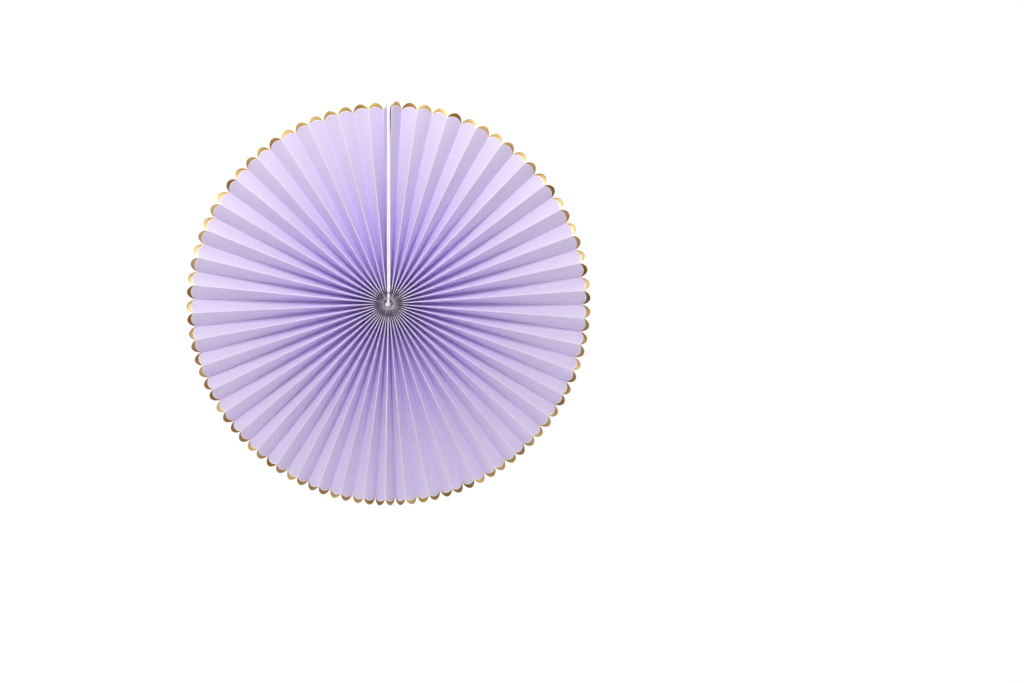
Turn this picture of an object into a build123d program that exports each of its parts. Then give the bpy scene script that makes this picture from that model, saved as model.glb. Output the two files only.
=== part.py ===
from build123d import *
from math import acos, asin, cos, pi, radians, sin, sqrt, tan
import os

# Paper fan rosette, 40 cm across: two pleated paper strips opened into a full circle, glued
# face to face between two stiff cards at 12 o'clock and lapped by one panel at 6 o'clock.
# Frame: the disc stands upright in the XZ plane, +Z points to the stiff seam, the front of
# the disc looks along -Y, and the origin is the middle of the hub. Millimetres and degrees.

# Driving sizes of the pleated paper
rosette_radius = 200.0  # hub centre to the tips of the scallops
scallop_height = 7.7  # a scallop's tip past the line through its two folds
panel_width = 18.0  # one panel across its folds, and so the depth of the folded stick
rim_lean = 48.3  # mean angle at the rim between a panel and the axis of the disc
paper_thickness = 0.22
sheet_gap = 0.06  # air or glue between two layers that are pressed together
pleat_spread = 0.15  # share by which the pleats at the top stand wider open than the mean
seam_share = 0.74  # opening of the panel right of the stiff seam, against 1
lap_share = 0.85  # opening of the lapped panels and their neighbours, against 1
settling_folds = 12  # so many folds left of the seam lie back towards the wall, less and less
lap_tuck = 0.15  # a lapped panel stops this far short of the other strip's fold

# Driving sizes of the stiff seam at 12 o'clock
card_thickness = 1.1
card_inset = 1.2  # hub thread to the inner ends of the cards
tape_thickness = 0.2
tape_margin = 3.0  # the tape stays this far inside the cards' edges

# Driving sizes of the thread that ties the inner ends
thread_diameter = 0.8
hole_clearance = 0.15  # round the thread, in the square hole that an awl leaves
thread_inset = 5.0  # inner ends of the panels to the middle of the holes
knot_gap = 1.75  # between the knot and the inner ends of the panels
knot_chamfer = 1.4
end_gap = 0.1  # between the thread's two ends on their way down the seam
thread_bends = 24  # the thread runs straight between so many gentle bends round the hub
thread_facets = 8  # the thread's section is an octagon

# Worked out from the sizes above
half_depth = panel_width / 2
fold_pitch = paper_thickness + sheet_gap
fold_depth = half_depth - paper_thickness / 2  # middle of the sheet at a fold by the hub
fold_radius = rosette_radius - scallop_height
panels_around = 2 * pi * fold_radius / (2 * fold_depth * sin(radians(rim_lean)))
panels_per_strip = round((panels_around + 3) / 2)  # less the two end panels and a lapped one
last_fold = 2 * panels_per_strip - 3  # the folds are numbered clockwise from 0 at the seam
lap_fold = panels_per_strip - 2  # the right strip's last fold, beside the lap at 6 o'clock
card_side = tape_thickness / 2 + card_thickness
end_panel_x = card_side + sheet_gap + paper_thickness / 2
seam_fold_x = end_panel_x + paper_thickness / 2
hub_radius = ((last_fold + 1) * fold_pitch + 2 * seam_fold_x) / (2 * pi)
thread_radius = hub_radius + thread_inset
thread_hole = thread_diameter + 2 * hole_clearance
card_start = thread_radius + thread_hole / 2 + card_inset
knot_radius = hub_radius - knot_gap
rail_steps = [0, 0.25, 0.5, 0.75, 1]  # hub to rim, where a fold's height is worked out
skin_sides = [paper_thickness / 2, -paper_thickness / 2]  # front and back face of the sheet


def hub_angle(fold):
    """Angle of a fold's inner end, clockwise from +Z: even steps, with a spare one for the lap."""
    start = asin(seam_fold_x / hub_radius)
    steps = fold + (1 if fold > lap_fold else 0)
    return start + (2 * pi - 2 * start) * steps / (last_fold + 1)


def opened(fold):
    """How many regular panels' openings lie between the stiff seam and a fold."""
    lapped = min(max(fold - lap_fold + 1, 0), 3)
    return fold - (1 - seam_share) * min(fold, 1) - (1 - lap_share) * lapped


def rim_angle(fold):
    """Angle of a fold's outer end: the steps are wider at the top than at the bottom."""
    start = asin(seam_fold_x / fold_radius)
    turn = 2 * pi * opened(fold) / opened(last_fold)
    return start + (1 - start / pi) * (turn + pleat_spread * sin(turn))


def rim_pitch(fold):
    """Distance at the rim from a fold to the next, taken away from the stiff seam."""
    inner = min(max(fold, 2), last_fold - 2)
    return fold_radius * (rim_angle(inner + 1) - rim_angle(inner - 1)) / 2


def fold_side(fold):
    """1 for a mountain fold, at the front of the disc, and -1 for a valley fold."""
    return 1 if fold % 2 == 0 else -1


def fold_height(fold, u):
    """How far a fold lies before or behind the disc's middle, u of the way from hub to rim.

    A panel keeps its width, so it stands deep at the hub and sinks as the pleats open. The
    fold left of the seam stays at its card's back edge, and takes its neighbours back with it.
    """
    if fold in (0, last_fold):
        return fold_depth
    opening = (rim_pitch(fold) - fold_pitch) * u
    height = sqrt((2 * fold_depth) ** 2 - opening**2) / 2
    settled = max(0, 1 - (last_fold - fold) / settling_folds)
    return height - fold_side(fold) * settled * (fold_depth - height)


def lean(panel, u):
    """Angle between a panel and the disc's axis. Panel 0 lies between folds 0 and 1."""
    if panel in (-1, last_fold):
        return 0
    depth = fold_height(panel, u) + fold_height(panel + 1, u)
    return acos(min(1, depth / (2 * fold_depth)))


def fold_line(fold, u):
    """A point of a fold's middle line, seen square to the disc."""
    inner, outer = hub_angle(fold), rim_angle(fold)
    start = Vector(hub_radius * sin(inner), 0, hub_radius * cos(inner))
    end = Vector(fold_radius * sin(outer), 0, fold_radius * cos(outer))
    return start + (end - start) * u


def fold_across(fold):
    """Unit vector along the disc, square to the fold, pointing clockwise."""
    run = (fold_line(fold, 1) - fold_line(fold, 0)).normalized()
    return Vector(run.Z, 0, -run.X)


def sheet_point(fold, across, height, u):
    """Point beside a fold: across the fold, clockwise, and out from the disc's middle."""
    out = Vector(0, -fold_side(fold), 0)
    return fold_line(fold, u) + fold_across(fold) * across + out * height


def bend(panel, u):
    """Half the width of the sheet's middle across a fold, for a bend with a sharp inside."""
    return paper_thickness / 2 * tan((pi / 2 - lean(panel, u)) / 2)


def lap_shift(u):
    """A lapped panel leaves its fold one sheet further on, because the other one lies between."""
    return fold_pitch / cos(lean(lap_fold, u))


def fold_corner(fold, clockwise, outside, u):
    """A corner of a fold's section: on one side of the fold, outside or inside its bend."""
    across = 2 * bend(fold if clockwise else fold - 1, u) if outside else 0
    if (fold, clockwise) in ((lap_fold, True), (lap_fold + 1, False)):
        across += lap_shift(u)
    skin = paper_thickness / 2 if outside else -paper_thickness / 2
    return sheet_point(fold, across if clockwise else -across, fold_height(fold, u) + skin, u)


def rail(point):
    """Line of points from hub to rim, which the function gives."""
    return [point(u) for u in rail_steps]


def fold_rails(fold, clockwise):
    """The two long edges where a panel meets a fold, the outside of the bend first."""
    return [rail(lambda u: fold_corner(fold, clockwise, outside, u)) for outside in (True, False)]


def front_first(fold, rails):
    """The two rails of a fold with the one on the front face of the paper first."""
    return rails if fold_side(fold) == 1 else rails[::-1]


def seam_rails(fold):
    """Free edge of the panel glued to a card: at the back right of the seam, the front left."""
    side = 1 if fold == 0 else -1
    free_y = side * half_depth

    def point(u, skin):
        return Vector(side * end_panel_x - skin, free_y, fold_line(fold, u).Z)

    return [rail(lambda u: point(u, skin)) for skin in skin_sides]


def lap_rails(fold):
    """Free edge of the lapped panel that starts at a fold, just short of the other strip's."""
    other = lap_fold + 1 if fold == lap_fold else lap_fold
    way = 1 if fold == lap_fold else -1

    def point(u, skin):
        away = way * (bend(lap_fold, u) + lap_shift(u))
        start = sheet_point(fold, away, fold_height(fold, u), u)
        end = sheet_point(other, -way * bend(lap_fold, u), fold_height(other, u), u)
        run = end - start
        square = run.cross(Vector(0, 1, 0)).cross(run).normalized()
        front = square if square.Y < 0 else -square
        stop = 1 - (paper_thickness / 2 + lap_tuck) / run.length
        return start + run * stop + front * skin

    return [rail(lambda u: point(u, skin)) for skin in skin_sides]


def facet(*corners):
    return Face(Wire.make_polygon(corners))


def stretches(*rails):
    """For each stretch of some rails, hub to rim, the inner and the outer point of each rail."""
    for i in range(len(rail_steps) - 1):
        yield [(rail[i], rail[i + 1]) for rail in rails]


def creased_side(first, second):
    """One side of a panel between two rails. Each stretch twists, so it bends at a diagonal."""
    faces = []
    for (a_in, a_out), (b_in, b_out) in stretches(first, second):
        faces += [facet(a_in, a_out, b_out), facet(a_in, b_out, b_in)]
    return faces


def fold_faces(fold, left, right):
    """Outside of a fold between its panels' rails, with its two ends.

    The inside is a sharp line, except where a lapped panel lies between and holds it open.
    """
    faces = []
    for (a_in, a_out), (b_in, b_out) in stretches(left[0], right[0]):
        faces.append(facet(a_in, a_out, b_out, b_in))
    if fold not in (lap_fold, lap_fold + 1):
        return faces + [facet(left[0][end], right[0][end], right[1][end]) for end in (0, -1)]
    for (a_in, a_out), (b_in, b_out) in stretches(left[1], right[1]):
        faces.append(facet(a_in, a_out, b_out, b_in))
    return faces + [end_face(left, right, end) for end in (0, -1)]


def end_face(first_pair, second_pair, end):
    """Cut edge of the paper across one end of a fold or panel: end is 0 at the hub, -1 outside."""
    lines = [Line(a[end], b[end]).edge() for a, b in zip(first_pair, second_pair)]
    return Face.make_surface_from_curves(*lines)


def scallop(start, end):
    """Arc past the outer ends of a panel's folds, its tip on the circle through all the tips."""
    middle = (start + end) / 2
    plan_radius = Vector(middle.X, 0, middle.Z).length
    tip = middle + Vector(middle.X, 0, middle.Z) * (rosette_radius / plan_radius - 1)
    return ThreePointArc(start, tip, end).edge()


def panel_faces(first_pair, second_pair):
    """Skin of one panel between two pairs of rails, with its scallop and inner end."""
    arcs = [scallop(a[-1], b[-1]) for a, b in zip(first_pair, second_pair)]
    faces = [Face(Wire([arc, Line(arc @ 1, arc @ 0).edge()])) for arc in arcs]
    faces.append(Face.make_surface_from_curves(*arcs))
    faces.append(end_face(first_pair, second_pair, 0))
    for first, second in zip(first_pair, second_pair):
        faces += creased_side(first, second)
    return faces


def pleated_strip(folds):
    """One pleated strip as a closed sheet, from the panel on its card to its lapped panel."""
    faces = []
    before = {}
    after = {}
    for fold in folds:
        left, right = fold_rails(fold, False), fold_rails(fold, True)
        faces += fold_faces(fold, left, right)
        before[fold], after[fold] = front_first(fold, left), front_first(fold, right)
    for fold in folds[:-1]:
        pairs = after[fold], before[fold + 1]
        faces += panel_faces(*pairs) if fold_side(fold) == 1 else panel_faces(*pairs[::-1])
    if 0 in folds:
        seam_end, lap_end = before[0], after[lap_fold]
        seam_edge, lap_edge = seam_rails(0), lap_rails(lap_fold)
    else:
        seam_end, lap_end = after[last_fold], before[lap_fold + 1]
        seam_edge, lap_edge = seam_rails(last_fold), lap_rails(lap_fold + 1)
    for fixed, free in ((seam_end, seam_edge), (lap_end, lap_edge)):
        faces += panel_faces(fixed, free)
        faces += creased_side(*free)
    return Solid(Shell(faces)) - thread_ring(thread_hole)


def thread_ring(width):
    """Ring of square section along the thread's way round the hub."""
    outer = RegularPolygon(thread_radius + width / 2, thread_bends)
    inner = RegularPolygon(thread_radius - width / 2, thread_bends)
    return extrude(Plane.XZ * (outer - inner), width / 2, both=True)


def end_card(side):
    """Stiff card with the same scalloped end as the paper; side is 1 right, -1 left."""
    shoulder = fold_line(0, 1).Z
    corners = [(half_depth, card_start), (-half_depth, card_start)]
    sides = Polyline((half_depth, shoulder), *corners, (-half_depth, shoulder))
    tip = ThreePointArc((-half_depth, shoulder), (0, rosette_radius), (half_depth, shoulder))
    card = extrude(Plane.YZ * make_face([sides, tip]), card_thickness)
    return Pos(tape_thickness / 2 if side == 1 else -card_side, 0, 0) * card


def seam_tape():
    """Double-sided tape between the two cards."""
    width = panel_width - 2 * tape_margin
    start = card_start + tape_margin
    length = fold_line(0, 1).Z - tape_margin - start
    return Pos(0, 0, start + length / 2) * Box(tape_thickness, width, length)


def hub_thread():
    """Thread through the holes of all panels, led down the seam to a knot in the hub's mouth."""
    ring = thread_ring(thread_diameter)
    octagon_corner = thread_diameter * (1 - sqrt(0.5))
    thread = chamfer(ring.edges().filter_by(Plane.XZ), octagon_corner)
    knot = Vector(0, knot_radius - half_depth, 0)
    for side in (-1, 1):
        aside = Vector(side * (thread_diameter + end_gap) / 2, 0, 0)
        run = knot - Vector(0, 0, thread_radius)
        start = Plane(knot + aside - run, z_dir=run)
        section = start * RegularPolygon(thread_diameter / 2, thread_facets)
        thread += extrude(section, run.length)
    lump = Rot(90, 0, 0) * Cylinder(knot_radius, 2 * knot_radius)
    return thread + Pos(knot) * chamfer(lump.edges().filter_by(GeomType.CIRCLE), knot_chamfer)


def main():
    nodes = {
        "right_pleated_strip": pleated_strip(list(range(0, lap_fold + 1))),
        "left_pleated_strip": pleated_strip(list(range(lap_fold + 1, last_fold + 1))),
        "right_end_card": end_card(1),
        "left_end_card": end_card(-1),
        "seam_tape": seam_tape(),
        "hub_thread": hub_thread(),
    }
    os.makedirs("parts", exist_ok=True)
    for name, shape in nodes.items():
        export_step(shape, f"parts/{name}.step")
    flat_length = panels_per_strip * 2 * fold_depth + (panels_per_strip - 1) * fold_pitch
    flat_width = rosette_radius - hub_radius
    print(f"{panels_per_strip} panels a strip, flat size {flat_length:.0f} x {flat_width:.0f} mm")
    print(f"hub radius {hub_radius:.2f}, thread radius {thread_radius:.2f} mm")


main()
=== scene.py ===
# %% [markdown]
# # A paper fan rosette, pleat by pleat
# The real thing is two strips of printed paper, folded like an accordion, opened into a disc and
# tied at the hub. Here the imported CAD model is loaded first: it is a fixed frame in metres, with
# the disc upright in the XZ plane and its front looking along -Y. What is right in it stays and
# gets a better finish, and what paper or thread does more softly is built again in its place.

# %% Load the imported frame
import random
from math import acos, asin, cos, pi, radians, sin, sqrt, tan

import bmesh
import bpy
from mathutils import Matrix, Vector


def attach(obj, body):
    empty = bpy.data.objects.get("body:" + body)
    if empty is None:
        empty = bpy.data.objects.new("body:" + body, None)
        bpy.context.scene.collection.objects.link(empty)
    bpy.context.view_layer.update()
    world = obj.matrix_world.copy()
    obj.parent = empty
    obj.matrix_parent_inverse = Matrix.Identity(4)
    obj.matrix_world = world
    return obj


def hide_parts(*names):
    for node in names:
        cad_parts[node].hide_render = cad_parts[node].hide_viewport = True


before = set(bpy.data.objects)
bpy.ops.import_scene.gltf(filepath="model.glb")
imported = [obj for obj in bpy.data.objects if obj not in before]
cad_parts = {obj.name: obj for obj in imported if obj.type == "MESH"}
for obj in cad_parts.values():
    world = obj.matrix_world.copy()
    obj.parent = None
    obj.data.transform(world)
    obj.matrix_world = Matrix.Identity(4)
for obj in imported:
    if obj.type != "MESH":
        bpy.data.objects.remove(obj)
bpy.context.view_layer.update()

MM = 0.001  # the rosette's sizes below are in millimetres, and Blender works in metres
print("CAD nodes:", ", ".join(sorted(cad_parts)))

# %% [markdown]
# ## The measures of the folded paper
# The folds have to lie where the CAD folds lie, so the measures and the rules that place a fold
# are the same as there. Folds are numbered clockwise from 0, just right of the stiff seam at
# 12 o'clock, to 91, just left of it. Even folds are mountains, at the front of the disc, and odd
# folds are valleys. `u` runs along a fold from 0 at the hub to 1 at the rim.

# %% The measures
rosette_radius = 200.0
scallop_height = 7.7
panel_width = 18.0
rim_lean = radians(48.3)  # how far a panel leans from square to the disc at the rim
paper_thickness = 0.22
sheet_gap = 0.06
pleat_spread = 0.15  # share by which folds are further apart at 12 o'clock and closer at 6
seam_share = 0.74  # how wide the first panel right of the seam opens, as a share of the others
lap_share = 0.85  # the same for the panels round the lap at 6 o'clock
lap_panels = 3  # how many panels that is
settling_folds = 12  # folds left of the seam that lie back with it, less and less
lap_tuck = 0.15  # how far a lapped panel's free edge stays short of the other strip
card_side = 1.2  # how far each card's outer face is from the middle of the seam
hidden_panels = 3  # one on each card, and one that the lap counts twice

half_depth = panel_width / 2
fold_pitch = paper_thickness + sheet_gap
fold_depth = half_depth - paper_thickness / 2
fold_radius = rosette_radius - scallop_height
panels_around = 2 * pi * fold_radius / (2 * fold_depth * sin(rim_lean))
panels_per_strip = round((panels_around + hidden_panels) / 2)
last_fold = 2 * panels_per_strip - hidden_panels
lap_fold = panels_per_strip - 2
end_panel_x = card_side + sheet_gap + paper_thickness / 2
seam_fold_x = end_panel_x + paper_thickness / 2
hub_radius = ((last_fold + 1) * fold_pitch + 2 * seam_fold_x) / (2 * pi)
fold_length = fold_radius - hub_radius
print(f"{panels_per_strip} panels a strip, folds 0 to {last_fold}, hub radius {hub_radius:.2f} mm")


# %% [markdown]
# ## Where a fold lies
# Seen square to the disc, a fold is a straight line from the hub to the rim. One pleat could be
# copied round in a ring, but the pleats of this fan differ: they are wider apart near the seam,
# and a fan opened by hand is not spread quite evenly. So a rule gives each fold its own angle.
# The unevenness, and the paper that stands a little off its cards beside the seam, are added
# here, because the CAD leaves them out.

# %% Place a fold seen square to the disc
right_gap = 1.5  # how far the fold right of the seam is off its card at the rim
right_gap_start = 0.72  # share of its length at which it leaves the card
right_gap_curve = 1.3  # above 1 the gap opens slowly at first
left_splay = 1.0  # degrees by which the fold left of the seam stands off its card
left_uneven_folds = 30  # the folds beside it follow it, less and less
right_lag = 1.2  # degrees by which the pleats on the right have stayed behind at most
right_lag_start = 6  # the fold from which they stay behind
seam_margin = 2  # folds beside the seam that take the pitch of their neighbours


def hub_angle(fold):
    """Angle of a fold's inner end, clockwise from 12 o'clock."""
    start = asin(seam_fold_x / hub_radius)
    steps = fold + (1 if fold > lap_fold else 0)
    return start + (2 * pi - 2 * start) * steps / (last_fold + 1)


def opened(fold):
    """How many panels a fold is from the first one, with the narrower panels counted as less."""
    lapped = min(max(fold - lap_fold + 1, 0), lap_panels)
    return fold - (1 - seam_share) * min(fold, 1) - (1 - lap_share) * lapped


def uneven(fold):
    """How far a fold of this fan has stayed behind its even place, in degrees."""
    if fold > last_fold - left_uneven_folds:
        return left_splay * (1 - (last_fold - fold) / left_uneven_folds)
    first, last = right_lag_start, lap_fold + 1
    return right_lag * sin(pi * (fold - first) / (last - first)) if first < fold < last else 0


def rim_angle(fold):
    """Angle of a fold's outer end, clockwise from 12 o'clock."""
    start = asin(seam_fold_x / fold_radius)
    turn = 2 * pi * opened(fold) / opened(last_fold)
    even = start + (1 - start / pi) * (turn + pleat_spread * sin(turn))
    return even - radians(uneven(fold))


def fold_line(fold, u):
    """Place of a fold seen square to the disc, u of the way out."""
    inner, outer = hub_angle(fold), rim_angle(fold)
    start = Vector((hub_radius * sin(inner), 0, hub_radius * cos(inner)))
    end = Vector((fold_radius * sin(outer), 0, fold_radius * cos(outer)))
    off_card = max(0, (u - right_gap_start) / (1 - right_gap_start)) ** right_gap_curve
    return start.lerp(end, u) + Vector((right_gap * off_card if fold == 0 else 0, 0, 0))


def fold_across(fold):
    """Direction square to a fold in the disc's plane, clockwise."""
    run = (fold_line(fold, 1) - fold_line(fold, 0)).normalized()
    return Vector((run.z, 0, -run.x))


for name, fold in (("first", 0), ("middle", lap_fold), ("last", last_fold)):
    place = fold_line(fold, 1)
    print(f"the {name} fold ends at x {place.x:.1f}, z {place.z:.1f} mm")


# %% [markdown]
# ## How deep a fold lies
# The depth follows from one fact: a panel is as wide at the rim as at the hub, so the further the
# pleats open, the flatter they lie. Left of the stiff seam the last fold stays at its card's back
# edge, and its neighbours lie back with it. A panel's lean then comes from its two folds' depths.

# %% Find a fold's depth
def rim_pitch(fold):
    """Distance from one fold to the next at the rim."""
    inner = min(max(fold, seam_margin), last_fold - seam_margin)
    return fold_radius * (rim_angle(inner + 1) - rim_angle(inner - 1)) / 2


def fold_side(fold):
    """1 for a mountain, at the front, and -1 for a valley, at the back."""
    return 1 if fold % 2 == 0 else -1


def fold_height(fold, u):
    """How far a fold is from the middle of the depth, towards its own side, u of the way out."""
    if fold == 0:
        return fold_depth
    if fold == last_fold:
        splay = radians(left_splay) * fold_radius * u
        return sqrt((2 * fold_depth) ** 2 - splay**2) - fold_depth
    opening = (rim_pitch(fold) - fold_pitch) * u
    height = sqrt((2 * fold_depth) ** 2 - opening**2) / 2
    settled = max(0, 1 - (last_fold - fold) / settling_folds)
    return height - fold_side(fold) * settled * (fold_depth - height)


def lean(panel, u):
    """How far a panel leans from square to the disc. The panels on the cards don't lean."""
    if panel in (-1, last_fold):
        return 0
    depth = fold_height(panel, u) + fold_height(panel + 1, u)
    return acos(min(1, depth / (2 * fold_depth)))


def sheet_point(fold, across, height, u):
    """A point beside a fold: across it, and height from the middle towards the fold's side."""
    out = Vector((0, -fold_side(fold), 0))
    return fold_line(fold, u) + fold_across(fold) * across + out * height


print(f"a fold at 3 o'clock lies {fold_height(last_fold // 4, 1):.2f} mm off the middle at the rim")


# %% [markdown]
# ## The two long sides of a panel
# A panel hangs between two folds. The sheet's middle doesn't run into a point there but goes
# round a tight bend, so each fold gives two lines a fraction of a millimetre apart, one for the
# panel on each side. The last panel of each strip is special: one lies against its card at
# 12 o'clock, and at 6 o'clock the two strips lap by one panel, a sheet's thickness apart.

# %% Find a panel's two sides
def bend(panel, u):
    """How far from a fold's line the panel beside it starts, because the sheet has thickness."""
    return paper_thickness / 2 * tan((pi / 2 - lean(panel, u)) / 2)


def lap_shift(u):
    """How far a lapped panel starts from its own fold, so that the two lie side by side."""
    return fold_pitch / cos(lean(lap_fold, u))


def beside_fold(fold, way, u):
    """Middle of the sheet where a panel leaves a fold: way is 1 on the clockwise side, else -1."""
    across = bend(fold if way == 1 else fold - 1, u)
    if (fold, way) in ((lap_fold, 1), (lap_fold + 1, -1)):
        across += lap_shift(u)
    else:
        across += sheet_gap / 2
    return sheet_point(fold, way * across, fold_height(fold, u), u)


def card_edge(way, u):
    """Free edge of the panel on a card: at the back right of the seam, at the front left of it."""
    height = fold_line(0 if way == 1 else last_fold, u).z
    return Vector((way * end_panel_x, way * half_depth, height))


def lap_edge(fold, u):
    """Free edge of the lapped panel that starts at a fold, just short of the other strip's."""
    other = lap_fold + 1 if fold == lap_fold else lap_fold
    way = 1 if fold == lap_fold else -1
    start = beside_fold(fold, way, u)
    end = sheet_point(other, -way * bend(lap_fold, u), fold_height(other, u), u)
    run = end - start
    return start + run * (1 - (paper_thickness / 2 + lap_tuck) / run.length)


def panel_sides(panel, strip, u):
    """The counter-clockwise and the clockwise side of a panel, u of the way out from the hub."""
    if panel == -1:
        return card_edge(1, u), beside_fold(0, -1, u)
    if panel == last_fold:
        return beside_fold(last_fold, 1, u), card_edge(-1, u)
    if panel == lap_fold and strip == "right":
        return beside_fold(lap_fold, 1, u), lap_edge(lap_fold, u)
    if panel == lap_fold and strip == "left":
        return lap_edge(lap_fold + 1, u), beside_fold(lap_fold + 1, -1, u)
    return beside_fold(panel, 1, u), beside_fold(panel + 1, -1, u)


trial_panel = 10
first, second = panel_sides(trial_panel, "right", 1)
print(f"panel {trial_panel} is {(second - first).length:.2f} mm wide at the rim")

# %% [markdown]
# ## A flat strip with scallops
# As in the workshop, the strip is made flat first, as a grid of rows and columns. Each panel has
# close columns near its folds, where the scallop's arc is steep, and two in its middle that leave
# room for the awl's hole between them. The rows are closest near the hub, two of them pass the
# hole on either side, and a few more lie in the scallop.

# %% Choose the rows and columns
hole_half = 0.55  # half the width of an awl's hole
hole_reach = 5.0  # how far the holes are from the inner ends of the folds
columns_to_fold = 6  # columns from the hole to each fold
first_row = 2.2  # how far the first row is from the inner ends
row_steps = 22  # steps to the outer ends, of which the first gives way to the hole's two rows
row_crowding = 1.15  # above 1 the rows are closer together near the hub
tab_rows = 4  # rows in the scallop, past the ends of the folds
same_point = 1e-4  # points closer than this, in mm, become one

quarter_columns = [sin(pi / 2 * j / columns_to_fold) * fold_depth for j in range(1, columns_to_fold + 1)]
panel_columns = [-x for x in reversed(quarter_columns)] + [-hole_half, hole_half] + quarter_columns
hole_rows = [hole_reach - hole_half, hole_reach + hole_half]
outer_rows = [fold_length * (k / row_steps) ** row_crowding for k in range(2, row_steps + 1)]
body_rows = [0, first_row] + hole_rows + outer_rows
chord_half = fold_depth  # half the width of a scallop's foot
panel_step = 2 * fold_depth + fold_pitch
print(f"{len(panel_columns)} columns a panel, {len(body_rows)} rows and {tab_rows} in the scallop")


# %% [markdown]
# ## Cut the strip
# `create_grid` gives the grid, and moving its points gives 47 panels side by side. The rows past
# the folds' ends are squeezed under the arc. There the grid shrinks to a point at each fold, so
# `remove_doubles` closes it. The awl's holes are faces left out. The print has to follow the
# paper through every fold, so the sheet's flat coordinates, in panel widths, become its UV map
# while it still lies flat: U counts the panels, and V is 0 where the scallops begin.

# %% Cut a flat strip
def scallop(x, height):
    """Height of an arc over a panel's end, x across from its middle, with its tip at height."""
    radius = (chord_half**2 + height**2) / (2 * height)
    return sqrt(max(0, radius**2 - x**2)) - sqrt(radius**2 - chord_half**2)


def panel_and_x(flat_x):
    """Which panel of the strip a flat place is on, and how far across from its middle."""
    panel = min(panels_per_strip - 1, int((flat_x + fold_pitch / 2) // panel_step))
    return panel, flat_x - panel * panel_step - fold_depth


def scalloped_grid():
    """A bmesh of one strip, flat in XY: X along the strip and Y from the hub to the rim, in mm."""
    bm = bmesh.new()
    columns = [(panel, x) for panel in range(panels_per_strip) for x in panel_columns]
    rows = len(body_rows) + tab_rows
    bmesh.ops.create_grid(bm, x_segments=len(columns) - 1, y_segments=rows - 1, size=1)
    for vert in bm.verts:
        panel, x = columns[round((vert.co.x + 1) / 2 * (len(columns) - 1))]
        row = round((vert.co.y + 1) / 2 * (rows - 1))
        past = max(0, row - len(body_rows) + 1) / tab_rows
        reach = body_rows[min(row, len(body_rows) - 1)] + past * scallop(x, scallop_height)
        vert.co = Vector((panel * panel_step + fold_depth + x, reach, 0))
    bmesh.ops.remove_doubles(bm, verts=bm.verts, dist=same_point)
    return bm


def punch_holes(bm):
    """Leaves out the face in the middle of each panel between the two rows of the hole."""
    holes = []
    for face in bm.faces:
        middle = face.calc_center_median()
        off_middle = abs((middle.x % panel_step) - fold_depth)
        if off_middle < hole_half / 2 and hole_rows[0] < middle.y < hole_rows[1]:
            holes.append(face)
    bmesh.ops.delete(bm, geom=holes, context="FACES_ONLY")
    return len(holes)


def map_print(bm, first_panel):
    """Writes the flat coordinates, in panel widths, into a UV map."""
    print_map = bm.loops.layers.uv.new("sheet")
    for face in bm.faces:
        for loop in face.loops:
            panel, across = panel_and_x(loop.vert.co.x)
            share = (across + fold_depth) / (2 * fold_depth)
            past_fold = (loop.vert.co.y - fold_length) / panel_width
            loop[print_map].uv = (first_panel + panel + share, past_fold)


first_panels = {"right": -1, "left": lap_fold}
strips = {}
for strip, first_panel in first_panels.items():
    strips[strip] = scalloped_grid()
    punched = punch_holes(strips[strip])
    map_print(strips[strip], first_panel)
    print(f"{strip} strip: {len(strips[strip].faces)} faces, {punched} holes")


# %% [markdown]
# ## Fold the strip
# Each point of the flat strip now goes to its place between its panel's two sides. Paper that is
# pulled open springs back near its folds, so each panel bows forward, and each scallop's tip
# leans a little forward or back. Both grow towards the rim, where the paper is free, by amounts
# that are random but the same on each run. The panel on a card doesn't bow, because it is stuck.
# Every point is placed by a rule, not by a simulation, so the creases lie where the rules above
# put them.

# %% Fold a strip
paper_luck = random.Random(12)
bow_range = (-1.3, -0.6)  # how far a panel's middle stands out at the rim: minus is forwards
lapped_bow = -0.8  # the same for both panels of the lap, which lie on each other
tip_lean = 0.5  # how far a scallop's tip leans forward or back at most


def fold_strip(bm, strip, first_panel):
    """Moves each point of a flat strip to its place on the fan, in metres."""
    bows = [paper_luck.uniform(*bow_range) for _ in range(panels_per_strip)]
    on_card, in_lap = (0, -1) if strip == "right" else (-1, 0)
    bows[on_card] = 0
    bows[in_lap] = lapped_bow
    tips = [paper_luck.uniform(-tip_lean, tip_lean) for _ in range(panels_per_strip)]
    rails = {}
    for vert in bm.verts:
        panel, x = panel_and_x(vert.co.x)
        u = min(1, vert.co.y / fold_length)
        past = max(0, vert.co.y - fold_length)
        key = (panel, round(u, 5))
        if key not in rails:
            rails[key] = panel_sides(first_panel + panel, strip, u)
        left, right = rails[key]
        across = (x + fold_depth) / (2 * fold_depth)
        centre = (left + right) / 2
        out = Vector((centre.x, 0, centre.z)).normalized()
        square = out.cross(right - left).normalized()
        bow = bows[panel] * u**2 * (1 - (2 * across - 1) ** 2)
        lift = tips[panel] * (past / scallop_height) ** 2
        vert.co = (left.lerp(right, across) + out * past + square * (bow + lift)) * MM


for strip, first_panel in first_panels.items():
    fold_strip(strips[strip], strip, first_panel)
print("both strips are folded")


# %% [markdown]
# ## Give the paper its thickness
# Only the front of the sheet is printed. Solidify gives the sheet its thickness and hands its
# back and its cut edges the second and third material. The folds stay sharp, and the panels
# between them are shaded smooth.

# %% Thicken the strips
crease_angle = radians(25)


def shade_paper(bm):
    """Smooth panels between sharp folds, with every face towards the front."""
    for edge in bm.edges:
        if len(edge.link_faces) == 2 and edge.calc_face_angle(0) > crease_angle:
            edge.smooth = False
    for face in bm.faces:
        face.smooth = True
    bmesh.ops.recalc_face_normals(bm, faces=bm.faces)
    if sum(face.normal.y for face in bm.faces) > 0:
        bmesh.ops.reverse_faces(bm, faces=bm.faces)


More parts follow.
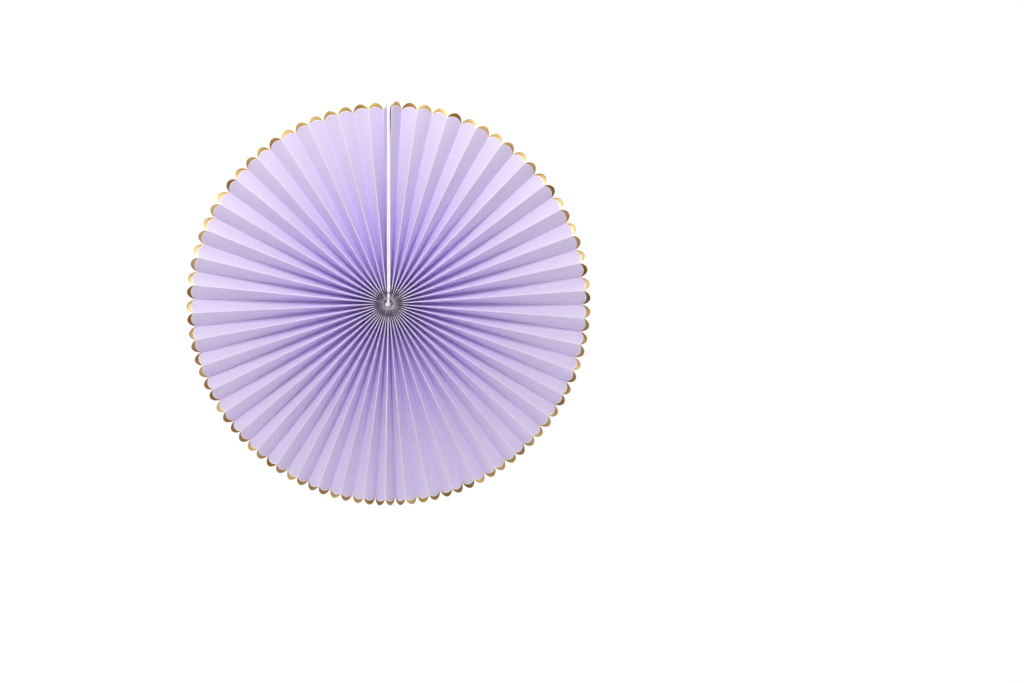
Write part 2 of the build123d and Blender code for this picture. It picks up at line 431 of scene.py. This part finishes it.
def paper_piece(strip):
    """The folded strip as a piece of the scene, in place of its CAD node."""
    shade_paper(strips[strip])
    mesh = bpy.data.meshes.new(strip + "_pleats")
    strips[strip].to_mesh(mesh)
    strips[strip].free()
    piece = bpy.data.objects.new(strip + "_pleats", mesh)
    bpy.context.scene.collection.objects.link(piece)
    thick = piece.modifiers.new("paper thickness", "SOLIDIFY")
    thick.thickness = paper_thickness * MM
    thick.offset = 0
    thick.use_even_offset = True
    thick.material_offset = 1
    thick.material_offset_rim = 2
    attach(piece, "root")
    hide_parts(strip + "_pleated_strip")
    print(f"{piece.name}: {len(mesh.vertices)} points, {len(mesh.polygons)} faces before thickness")
    return piece


right_pleats = paper_piece("right")
left_pleats = paper_piece("left")

# %% [markdown]
# ## A short way to write nodes
# A material is a small net of nodes. Writing each node and link in full is long, so `Net` adds a
# node, sets its options and joins its inputs in one line. `Finish` is such a net in a material.

# %% The node helpers


class Net:
    """A net of shader nodes, and short ways to add to it."""

    def __init__(self, tree):
        self.tree = tree

    def feed(self, socket, value):
        """Joins a socket to another one, or sets it to a value."""
        if isinstance(value, bpy.types.NodeSocket):
            self.tree.links.new(value, socket)
        else:
            socket.default_value = value

    def node(self, kind, options=None, **inputs):
        """A node with its options set and its inputs joined. In an input's name _ is a space."""
        made = self.tree.nodes.new("ShaderNode" + kind)
        for name, value in (options or {}).items():
            setattr(made, name, value)
        for name, value in inputs.items():
            self.feed(made.inputs[name.replace("_", " ")], value)
        return made

    def sum(self, operation, first, second=0.0, third=0.0, clamp=False):
        """The result of a Math node, held between 0 and 1 if clamp is true."""
        made = self.tree.nodes.new("ShaderNodeMath")
        made.operation = operation
        made.use_clamp = clamp
        for place, value in enumerate((first, second, third)):
            self.feed(made.inputs[place], value)
        return made.outputs[0]

    def mix(self, share, first, second):
        """A mix of two colours. Of the Mix node's many sockets 6, 7 and output 2 are for colours."""
        made = self.tree.nodes.new("ShaderNodeMix")
        made.data_type = "RGBA"
        for socket, value in ((0, share), (6, first), (7, second)):
            self.feed(made.inputs[socket], value)
        return made.outputs[2]

    def shader_mix(self, share, first, second):
        """A mix of two surfaces, the second one by share."""
        made = self.node("MixShader")
        for socket, value in zip(made.inputs, (share, first, second)):
            self.feed(socket, value)
        return made.outputs[0]

    def noise(self, coordinates, scale, detail=3.0, roughness=0.5):
        made = self.node("TexNoise", Scale=scale, Detail=detail, Roughness=roughness)
        self.feed(made.inputs["Vector"], coordinates)
        return made.outputs["Fac"]

    def luck(self, number):
        """A random share for each number, the same on each run."""
        return self.node("TexWhiteNoise", {"noise_dimensions": "1D"}, W=number).outputs["Value"]

    def step(self, value, low, high):
        """0 below low, 1 above high, and smooth between."""
        made = self.node("MapRange", {"interpolation_type": "SMOOTHSTEP"})
        for name, number in (("Value", value), ("From Min", low), ("From Max", high)):
            self.feed(made.inputs[name], number)
        return made.outputs[0]

    def seen(self):
        """1 for the eye and for what gloss and clear things show, and 0 for light itself."""
        rays = self.node("LightPath").outputs
        mirrored = self.sum("ADD", rays["Is Glossy Ray"], rays["Is Transmission Ray"])
        return self.sum("ADD", rays["Is Camera Ray"], mirrored, clamp=True)


class Finish(Net):
    """A material with a Principled surface."""

    def __init__(self, name):
        self.material = bpy.data.materials.new(name)
        self.material.use_nodes = True
        super().__init__(self.material.node_tree)
        self.surface = self.tree.nodes["Principled BSDF"]

    def paint(self, colour, roughness):
        self.feed(self.surface.inputs["Base Color"], colour)
        self.feed(self.surface.inputs["Roughness"], roughness)

    def bump(self, height, strength, distance):
        """Makes the surface look raised by height, without moving it."""
        made = self.node("Bump", Strength=strength, Distance=distance, Height=height)
        self.feed(self.surface.inputs["Normal"], made.outputs[0])


def grey(value):
    return (value, value, value, 1)


print("Net and Finish are ready")

# %% [markdown]
# ## Gold crescents on the scallops
# Each scallop of the real sheet has a crescent of gold foil. A picture could hold it, but a rule
# on the sheet's UV map stays sharp at any size. Ping-pong of U is 0 on every mountain fold and 1
# on every valley, so an arc over each panel's end is one formula. A thin unprinted line parts the
# gold from the ink, and the gold's tone differs from scallop to scallop, as foil that lies a
# little differently does.

# %% Lay out the gold crescents
pale_foil = (0.74, 0.52, 0.19, 1)
deep_foil = (0.26, 0.13, 0.015, 1)
crescent_inner_height = 3.8  # height of the arc where the gold begins
foil_edge = (0.05, 0.35)  # mm past that arc where the foil begins and where it is whole
bare_edge = (-0.75, -0.45)  # the same for the bare line before it
edge_wander = 0.3  # mm by which the printed edge wanders

printed = Finish("lavender print with gold crescents")
sheet = printed.node("UVMap", {"uv_map": "sheet"}).outputs[0]
along_strip, past_folds, _ = printed.node("SeparateXYZ", Vector=sheet).outputs
from_mountain = printed.sum("PINGPONG", along_strip, 1.0)
across_mm = printed.sum("MULTIPLY", printed.sum("SUBTRACT", from_mountain, 0.5), 2 * fold_depth)
past_fold_mm = printed.sum("MULTIPLY", past_folds, panel_width)
inner_radius = (chord_half**2 + crescent_inner_height**2) / (2 * crescent_inner_height)
under_root = printed.sum("SUBTRACT", inner_radius**2, printed.sum("POWER", across_mm, 2.0))
inner_arc = printed.sum("SUBTRACT", printed.sum("SQRT", under_root), sqrt(inner_radius**2 - chord_half**2))
ragged = printed.sum("MULTIPLY", printed.noise(sheet, 22.0), edge_wander)
into_foil = printed.sum("ADD", printed.sum("SUBTRACT", past_fold_mm, inner_arc), ragged)
foil_share = printed.step(into_foil, *foil_edge)
bare_line = printed.sum("SUBTRACT", printed.step(into_foil, *bare_edge), foil_share)
foil_colour = printed.mix(printed.luck(printed.sum("FLOOR", along_strip)), deep_foil, pale_foil)
print(f"the gold begins about {crescent_inner_height} mm up in the middle of a scallop")

# %% [markdown]
# ## Lavender ink, deepened at the hub by painted bounce light
# The ink is a clear lavender near the hub and a paler, greyer one at the rim, with a cloudy change between.
# The deeper colour towards the hub is painted bounce light, standing in for the tint that the deep pleats
# there give each other. The paper's fine fibre shows through it a little.

# %% Mix the ink
# The colour near the hub is deepened as painted bounce light, for the tint the deep pleats give each other
# there.
hub_ink_and_bounce = (0.70, 0.57, 0.965, 1)
ink_rim = (0.69, 0.62, 0.835, 1)
bare_paper = (0.92, 0.88, 0.95, 1)
ink_change = (-9.0, -1.5)  # panel widths past the ends of the folds, so minus is towards the hub
cloud_reach = 1.5  # panel widths by which the change wanders
fibre_shows = 0.06

fibre = printed.noise(printed.node("TexCoord").outputs["Object"], 1400.0, 4.0, 0.6)
wandering = printed.sum("MULTIPLY_ADD", printed.noise(sheet, 1.3, 2.0), cloud_reach, past_folds)
# Painted bounce light: the ink turns deeper towards the hub.
ink_colour = printed.mix(printed.step(wandering, *ink_change), hub_ink_and_bounce, ink_rim)
ink_colour = printed.mix(printed.sum("MULTIPLY", fibre, fibre_shows), ink_colour, bare_paper)
print(f"the ink changes over {ink_change[1] - ink_change[0]} panel widths")

# %% [markdown]
# ## Worn creases and a painted highlight on them
# Along each mountain fold the ink has broken and been rubbed, so the paper shows as a pale line. The same
# line is also a painted highlight on each fold's crest, which catches the light between darker grooves. It
# is patchy, and it is strongest and widest near the hub, mostly as that painted highlight.

# %% Wear the creases and paint their highlight
wear_line = (0.1, 0.5)  # mm from the fold where the pale line is whole and where it ends
wide_line_ends = (-9.5, -5.5)  # panel widths past the folds' ends over which the line narrows
wear_fades = (-7.0, -2.0)  # the same over which it gets fainter
rub_at_hub, rub_lost, rub_patches = 0.95, 0.75, 0.2  # share at the hub, loss to the rim, patches
# Near the hub the line widens as a painted highlight on the crests.
highlight_widening = 0.7  # share by which distances from the fold are shrunk near the hub

near_hub = printed.sum("SUBTRACT", 1.0, printed.step(past_folds, *wide_line_ends))
shrunk = printed.sum("MULTIPLY_ADD", near_hub, -highlight_widening, 1.0)
crease_mm = printed.sum("MULTIPLY", printed.sum("MULTIPLY", from_mountain, shrunk), 2 * fold_depth)
crease_wear_and_highlight = printed.sum("SUBTRACT", 1.0, printed.step(crease_mm, *wear_line))
crease_patches = printed.step(printed.noise(sheet, 9.0, 4.0, 0.7), 0.30, 0.62)
rubbed = printed.sum("MULTIPLY_ADD", printed.step(past_folds, *wear_fades), -rub_lost, rub_at_hub)
rubbed = printed.sum("MULTIPLY_ADD", crease_patches, rub_patches, rubbed)
wear_and_painted_highlight = printed.sum("MULTIPLY", crease_wear_and_highlight, rubbed, clamp=True)
# The pale line is partly wear and partly a painted highlight on the fold's crest.
ink_colour = printed.mix(wear_and_painted_highlight, ink_colour, bare_paper)
print(f"the pale line is whole up to {wear_line[0]} mm from a fold")

# %% [markdown]
# ## The shade at the hub, and the finished front
# At the hub the pleats are packed sheet on sheet and look nearly black, with a few pale rays. On
# the real fan that is shade. Light between thin sheets alone came out too pale here, so the shade
# is painted on the print. It stays there under any other light, which is the price of this way.

# %% Shade the hub and put the front together
# The dark colour below is painted shade, not a colour of the ink.
painted_hub_shade = (0.11, 0.075, 0.20, 1)
shade_grows = (0.0, 5.5)  # mm from the inner ends over which the shade deepens
shade_ends = (6.5, 12.0)  # mm from the inner ends over which it goes
shade_least, shade_most = 0.6, 0.9  # share of the dark at the inner ends and where it is deepest
ray_paleness = 0.6  # share of the shade that the palest ray goes without
bare_line_share = 0.75  # how much of the paper shows in the bare line
foil_metal = 0.9

from_hub_mm = printed.sum("MULTIPLY_ADD", past_folds, panel_width, fold_length)
deepening = printed.step(from_hub_mm, *shade_grows)
packed = printed.sum("MULTIPLY_ADD", deepening, shade_most - shade_least, shade_least)
gone = printed.sum("MULTIPLY", printed.step(from_hub_mm, *shade_ends), shade_most)
packed = printed.sum("SUBTRACT", packed, gone)
mountain_number = printed.sum("ROUND", printed.sum("MULTIPLY", along_strip, 0.5))
ray_share = printed.step(printed.luck(mountain_number), 0.5, 0.95)
ray = printed.sum("MULTIPLY_ADD", ray_share, -ray_paleness, 1.0)
# Painted shade: the hub's dark goes into the ink colour, with pale rays left at random mountains.
ink_colour = printed.mix(printed.sum("MULTIPLY", packed, ray), ink_colour, painted_hub_shade)
ink_colour = printed.mix(printed.sum("MULTIPLY", bare_line, bare_line_share), ink_colour, bare_paper)
ink_roughness = printed.sum("MULTIPLY_ADD", fibre, 0.12, 0.54)
roughness = printed.sum("MULTIPLY_ADD", foil_share, -0.2, ink_roughness)
printed.paint(printed.mix(foil_share, ink_colour, foil_colour), roughness)
printed.feed(printed.surface.inputs["Metallic"], printed.sum("MULTIPLY", foil_share, foil_metal))
printed.bump(fibre, 0.25, 0.00006)
print("printed front:", len(printed.tree.nodes), "nodes")

# %% [markdown]
# ## Bare paper and its cut edge
# Behind the print the paper is left white. It gets the same fibre, a little coarser, and a faint
# cloudiness. The cut edge is the brightest white, because a fresh cut scatters the most light.
# Near the hub the cut edge gets painted shade too, like the print.

# %% Make the plain back and the cut edge
painted_edge_shade = (0.10, 0.08, 0.14, 1)
edge_shade = (2, 12)  # mm past the hub's radius where the edge is darkest and where it is white

plain_back = Finish("unprinted paper back")
place = plain_back.node("TexCoord").outputs["Object"]
back_clouds = plain_back.noise(place, 60.0, 2.0)
plain_back.paint(plain_back.mix(back_clouds, (0.80, 0.77, 0.84, 1), (0.86, 0.84, 0.88, 1)), 0.72)
plain_back.bump(plain_back.noise(place, 1100.0, 4.0, 0.6), 0.3, 0.00008)

cut_edge = Finish("cut edge of the paper")
place = cut_edge.node("TexCoord").outputs["Object"]
edge_fibre = cut_edge.noise(place, 2600.0, 3.0, 0.6)
edge_colour = cut_edge.mix(edge_fibre, (0.82, 0.78, 0.88, 1), (0.93, 0.91, 0.95, 1))
x, _, z = cut_edge.node("SeparateXYZ", Vector=place).outputs
flat_place = cut_edge.node("CombineXYZ", X=x, Z=z).outputs[0]
hub_distance = cut_edge.node("VectorMath", {"operation": "LENGTH"}, Vector=flat_place).outputs["Value"]
out_of_shade = cut_edge.step(hub_distance, *((hub_radius + mm) * MM for mm in edge_shade))
# Near the hub the edge takes the painted shade colour.
cut_edge.paint(cut_edge.mix(out_of_shade, painted_edge_shade, edge_colour), 0.85)
cut_edge.bump(edge_fibre, 0.4, 0.00005)

for pleats in (right_pleats, left_pleats):
    for finish in (printed, plain_back, cut_edge):
        pleats.data.materials.append(finish.material)
print("paper finishes:", [material.name for material in right_pleats.data.materials])

# %% [markdown]
# ## Card and tape
# The cards' CAD shapes are right, so only their finish changes. White card is pressed from
# layers, which shows as fine lines along its cut edges, so its noise is squeezed across the card.
# The tape between them is a milky film.

# %% Finish the cards and the tape
card = Finish("white pressed card")
card_place = card.node("TexCoord").outputs["Object"]
layers = card.node("Mapping", Vector=card_place, Scale=(5200, 180, 60))
ply = card.noise(layers.outputs[0], 1.0, 2.0)
card.paint(card.mix(ply, (0.94, 0.93, 0.95, 1), (0.99, 0.98, 0.99, 1)), 0.7)
card.bump(card.sum("ADD", card.noise(card_place, 900.0, 4.0, 0.6), ply), 0.3, 0.00006)

film = Finish("milky double-sided tape")
film_grain = film.noise(film.node("TexCoord").outputs["Object"], 700.0, 2.0)
film.paint(film.mix(film_grain, (0.86, 0.85, 0.84, 1), (0.93, 0.92, 0.90, 1)), 0.35)
film.bump(film_grain, 0.15, 0.00004)

for node, finish in (("right_end_card", card), ("left_end_card", card), ("seam_tape", film)):
    cad_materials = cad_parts[node].data.materials
    cad_materials.clear()
    cad_materials.append(finish.material)
print("cards and tape have their finishes")

# %% [markdown]
# ## Twisted thread
# Cotton thread is three plies twisted together. A plain tube would do from afar, but close up it
# would look like wire, so each ply is a helix round the thread's own line. The line is a NURBS
# curve, and the plies follow points read from it.

# %% Twist a thread
thread_diameter = 0.8
plies = 3
twist_length = 2.6
ply_offset = 0.24  # how far a ply runs from the thread's line, in thread diameters
ply_radius = 0.26  # in thread diameters


def smooth_line(points, closed=False):
    """Points, in mm, along a smooth curve through a few given ones."""
    curve = bpy.data.curves.new("line", "CURVE")
    curve.dimensions = "3D"
    spline = curve.splines.new("NURBS")
    spline.points.add(len(points) - 1)
    for point, place in zip(spline.points, points):
        point.co = (*place, 1)
    spline.order_u = 3
    spline.use_endpoint_u = not closed
    spline.use_cyclic_u = closed
    spline.resolution_u = 6
    holder = bpy.data.objects.new("line", curve)
    mesh = bpy.data.meshes.new_from_object(holder)
    line = [vert.co.copy() for vert in mesh.vertices]
    bpy.data.objects.remove(holder)
    bpy.data.curves.remove(curve)
    bpy.data.meshes.remove(mesh)
    return line


def plied(line, closed=False):
    """For each ply, its own line twisted round a line."""
    made = [[] for _ in range(plies)]
    travelled = 0.0
    total = sum((b - a).length for a, b in zip(line, line[1:] + (line[:1] if closed else [])))
    turns = round(total / twist_length) if closed else total / twist_length
    side = None
    for i, here in enumerate(line):
        ahead = line[(i + 1) % len(line)] if closed or i + 1 < len(line) else here + (here - line[i - 1])
        run = (ahead - here).normalized()
        side = side or run.orthogonal()
        side = (side - run * side.dot(run)).normalized()
        other = run.cross(side)
        for ply in range(plies):
            turn = 2 * pi * (turns * travelled / total + ply / plies)
            made[ply].append(here + (side * cos(turn) + other * sin(turn)) * thread_diameter * ply_offset)
        travelled += (ahead - here).length
    return made


def thread_mesh(lines):
    """One mesh of round plies along (line, closed) pairs, in metres."""
    curve = bpy.data.curves.new("thread", "CURVE")
    curve.dimensions = "3D"
    curve.bevel_depth = thread_diameter * ply_radius * MM
    curve.bevel_resolution = 1
    curve.use_fill_caps = True
    for line, closed in lines:
        spline = curve.splines.new("POLY")
        spline.points.add(len(line) - 1)
        for point, place in zip(spline.points, line):
            point.co = (*(place * MM), 1)
        spline.use_cyclic_u = closed
    holder = bpy.data.objects.new("thread", curve)
    mesh = bpy.data.meshes.new_from_object(holder)
    bpy.data.objects.remove(holder)
    bpy.data.curves.remove(curve)
    return mesh


print(f"a thread {thread_diameter} mm thick, twisted once in {twist_length} mm")

# %% [markdown]
# ## The thread's way and its knot
# The thread goes through the awl's hole in every panel, comes out at the seam and is knotted in
# the mouth of the hub. It is doubled, so four strands come down over the front to the knot. The
# knot is four turns of a trefoil, the simplest knot there is, each one smaller and further
# forward, so that it fills the gaps in the one behind it.

# %% Lead it round the hub, down the seam and into the knot
thread_radius = hub_radius + hole_reach
knot_radius = hub_radius - 1.75
knot_middle = Vector((-0.6, knot_radius - half_depth, -1.1))
# each turn's size as a share of the knot's, how far it is turned, and how far forward it is
knot_turns = ((1.0, 0.5, 0.0), (0.85, 1.0, 0.5), (0.6, 1.5, 1.0), (0.35, 2.4, 1.5))
ring_steps, knot_steps = 48, 60
strand_places = (-1.5, -0.5, 0.5, 1.5)
strand_spacing = 0.9  # in thread diameters
closing_up = 0.6  # how close the strands are at the knot, as a share of that


def trefoil(share, size, start, forward):
    """A point of one overhand knot, flattened a little towards the front."""
    turn = 2 * pi * share
    reach = size * (0.62 + 0.38 * cos(3 * turn))
    return knot_middle + Vector((
        reach * cos(2 * turn + start),
        -size * 0.5 * sin(3 * turn) - forward,
        reach * sin(2 * turn + start),
    ))


ring_turns = [2 * pi * k / ring_steps for k in range(ring_steps)]
ring = [Vector((thread_radius * sin(turn), 0, thread_radius * cos(turn))) for turn in ring_turns]
lines = [(ply, True) for ply in plied(smooth_line(ring, True), True)]
for size, start, forward in knot_turns:
    loop = [trefoil(k / knot_steps, knot_radius * size, start, forward) for k in range(knot_steps)]
    lines += [(ply, True) for ply in plied(smooth_line(loop, True), True)]
for place in strand_places:
    aside = Vector((place * thread_diameter * strand_spacing, 0, 0))
    at_knot = knot_middle + aside * closing_up + Vector((0, -1.2, knot_radius * 0.3))
    top = Vector((0, 0, thread_radius)) + aside
    over = Vector((top.x, thread_diameter - half_depth, top.z))
    route = [top, over + Vector((0, 2.5, 0.3)), over, over.lerp(at_knot, 0.5), at_knot]
    lines += [(ply, False) for ply in plied(smooth_line(route))]
print(len(lines), "ply lines")

# %% [markdown]
# ## The thread as one piece
# All the plies become one mesh, which takes the place of the CAD model's plain thread. Cotton is
# matt and its lint is finer than the paper's fibre.

# %% Make the thread's mesh and finish
thread_piece = bpy.data.objects.new("tied_thread", thread_mesh(lines))
bpy.context.scene.collection.objects.link(thread_piece)
for face in thread_piece.data.polygons:
    face.use_smooth = True
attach(thread_piece, "root")
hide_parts("hub_thread")

cotton = Finish("white twisted cotton")
lint = cotton.noise(cotton.node("TexCoord").outputs["Object"], 4200.0, 4.0, 0.7)
cotton.paint(cotton.mix(lint, (0.93, 0.92, 0.95, 1), (0.99, 0.99, 0.99, 1)), 0.9)
cotton.bump(lint, 0.5, 0.00006)
thread_piece.data.materials.clear()
thread_piece.data.materials.append(cotton.material)
print("tied_thread:", len(thread_piece.data.polygons), "faces")

# %% [markdown]
# ## The wall's surface
# The rosette hangs on a white wall. More lamps would make a wall white too, but they would light
# the paper as well. So four fifths of what the eye sees of the wall is plain white, and the rest
# is its real, lit surface. Right behind the disc it is only that real surface, so that no white
# glows through the hub. From behind, the wall lets the eye through, and behind the disc and a
# little past its rim it lets light through, so that the back of the rosette can be looked at.

# %% Make the wall's surface
white_share = 0.8
white_strength = 1.12
white_begins = (0.8, 0.95)  # rosette radii from the hub over which the plain white comes in
light_stops = (1.1, 1.4)  # the same over which the wall begins to stop the light


def matt(name, colour):
    """A plain matt surface for the stage."""
    finish = Finish(name)
    finish.paint(colour, 0.9)
    return finish


white_wall = matt("white wall", grey(0.85))
wall_place = white_wall.node("TexCoord").outputs["Object"]
from_hub = white_wall.node("VectorMath", {"operation": "LENGTH"}, Vector=wall_place).outputs["Value"]
radii_out = white_wall.sum("DIVIDE", from_hub, rosette_radius * MM)
seen_white = white_wall.sum("MULTIPLY", white_wall.seen(), white_share)
seen_white = white_wall.sum("MULTIPLY", seen_white, white_wall.step(radii_out, *white_begins))
white = white_wall.node("Emission", Color=grey(1), Strength=white_strength).outputs[0]
shown = white_wall.shader_mix(seen_white, white_wall.surface.outputs[0], white)

behind_disc = white_wall.sum("SUBTRACT", 1.0, white_wall.step(radii_out, *light_stops))
not_the_eye = white_wall.sum("SUBTRACT", 1.0, white_wall.node("LightPath").outputs["Is Camera Ray"])
let_through = white_wall.sum("MULTIPLY", behind_disc, not_the_eye)
from_behind = white_wall.node("NewGeometry").outputs["Backfacing"]
clear_share = white_wall.sum("MAXIMUM", let_through, from_behind)
clear = white_wall.node("BsdfTransparent").outputs[0]
wall_surface = white_wall.shader_mix(clear_share, shown, clear)
white_wall.feed(white_wall.tree.nodes["Material Output"].inputs["Surface"], wall_surface)
print("white wall:", len(white_wall.tree.nodes), "nodes")

# %% [markdown]
# ## Wall and floor
# The wall stands just behind the rosette, which doesn't touch it. The floor is pale and lies
# below the picture. Both are grids of one face, stretched between two corners.

# %% Set up the wall and the floor
wall_gap = 0.25
floor_z = -420.0
stage_half = 1500.0  # how far the stage reaches to each side, and the wall upwards
floor_reach = 2500.0  # how far the floor reaches to the front and to the back


def plane_piece(name, corner_a, corner_b, finish):
    """A flat stage piece between two corners of a box whose size along Y or Z is nothing."""
    bm = bmesh.new()
    bmesh.ops.create_grid(bm, x_segments=1, y_segments=1, size=0.5)
    low, size = Vector(corner_a) * MM, (Vector(corner_b) - Vector(corner_a)) * MM
    for vert in bm.verts:
        first, second = vert.co.x + 0.5, vert.co.y + 0.5
        vert.co = low + Vector((size.x * first, size.y * second, size.z * second))
    mesh = bpy.data.meshes.new(name)
    bm.to_mesh(mesh)
    bm.free()
    mesh.materials.append(finish.material)
    piece = bpy.data.objects.new(name, mesh)
    bpy.context.scene.collection.objects.link(piece)


wall_y = half_depth + wall_gap
wall_corners = (-stage_half, wall_y, floor_z), (stage_half, wall_y, stage_half)
floor_corners = (-stage_half, -floor_reach, floor_z), (stage_half, floor_reach, floor_z)
plane_piece("wall", *wall_corners, white_wall)
plane_piece("floor", *floor_corners, matt("pale floor", grey(0.8)))
print("wall at", wall_y, "mm, floor at", floor_z, "mm")

# %% [markdown]
# ## Camera
# The photograph looks straight at the disc: pleats on the left and right of it are equally wide.
# So the camera stands in front of the hub, and a lens shift, not a turn, moves the disc to the
# left of the middle. The width of the view at the disc sets the focal length.

# %% Set up the camera
camera_distance = 1000.0
view_width = 1014.8  # how much the picture shows from side to side at the disc
sensor_width = 36
image_width, image_height = 1024, 683
disc_px = (388.5, 303.5)  # where the disc's middle is in the picture

camera_data = bpy.data.cameras.new("camera")
camera_data.sensor_width = sensor_width
camera_data.lens = sensor_width * camera_distance / view_width
camera_data.shift_x = (image_width / 2 - disc_px[0]) / image_width
camera_data.shift_y = -(image_height / 2 - disc_px[1]) / image_width
camera = bpy.data.objects.new("camera", camera_data)
camera.location = (0, -camera_distance * MM, 0)
camera.rotation_euler = (pi / 2, 0, 0)
bpy.context.scene.collection.objects.link(camera)
bpy.context.scene.camera = camera
print(f"lens {camera_data.lens:.1f} mm, shift {camera_data.shift_x:.3f}, {camera_data.shift_y:.3f}")

# %% [markdown]
# ## The world
# A faint, slightly lavender light comes from all round, a little more of it from above, so that
# the shaded faces of the pleats aren't too dark. The eye and every reflection see the same world
# as white. It gives the foil something to mirror, and a background where the wall isn't seen.

# %% Set up the world
fill_low, fill_high = 0.12, 0.20  # strength of the fill from the dim and from the bright side
bright_side = Vector((-0.3, -0.3, 0.9)).normalized()
lavender_fill = (0.92, 0.84, 1.0, 1)

world = bpy.data.worlds.new("studio")
bpy.context.scene.world = world
world.use_nodes = True
sky = Net(world.node_tree)
background = sky.tree.nodes["Background"]
towards = sky.node("VectorMath", {"operation": "DOT_PRODUCT"})
sky.feed(towards.inputs[0], sky.node("TexCoord").outputs["Generated"])
sky.feed(towards.inputs[1], bright_side)
brightness = towards.outputs["Value"]
fill = sky.node("MapRange", Value=brightness, From_Min=-0.8, From_Max=0.9, To_Min=fill_low, To_Max=fill_high)
seen = sky.seen()
strength = sky.node("MapRange", Value=seen, To_Min=fill.outputs[0], To_Max=1.0)
sky.feed(background.inputs["Color"], sky.mix(seen, lavender_fill, grey(1)))
sky.feed(background.inputs["Strength"], strength.outputs[0])
print(f"world: {fill_low} to {fill_high} as light, 1.0 to the eye")

# %% [markdown]
# ## Lamps
# The photograph is lit softly from above: the faces of the pleats that look up are pale, and
# those that look down are a shade darker. A lamp high in front does that. A long lamp far above
# is there for the foil, which answers it on the scallops that look up. A large lamp straight in
# front fills in the rest. A last lamp behind the wall is there for whoever looks from behind.

# %% Set up the lamps
def soft_lamp(name, place, width, height, power, colour):
    """A lamp that shines at the hub, its place, width and height in metres."""
    data = bpy.data.lights.new(name, "AREA")
    data.shape = "RECTANGLE"
    data.size = width
    data.size_y = height
    data.energy = power
    data.color = colour
    lamp = bpy.data.objects.new(name, data)
    lamp.location = place
    lamp.rotation_euler = (-Vector(place)).to_track_quat("-Z", "Y").to_euler()
    bpy.context.scene.collection.objects.link(lamp)


soft_lamp("high lamp", (-0.2, -0.95, 0.9), 0.6, 0.6, 10.8, (1.0, 1.0, 0.94))
soft_lamp("top lamp", (0.0, -0.15, 1.3), 2.2, 0.25, 3.4, (1.0, 1.0, 0.97))
soft_lamp("front lamp", (0.1, -2.0, 0.0), 1.2, 1.2, 12.6, (0.95, 0.92, 1.0))
soft_lamp("back lamp", (-0.6, 1.8, 1.0), 1.2, 1.2, 34, (1.0, 1.0, 1.0))
bpy.context.scene.view_settings.view_transform = "Standard"
print("four lamps")
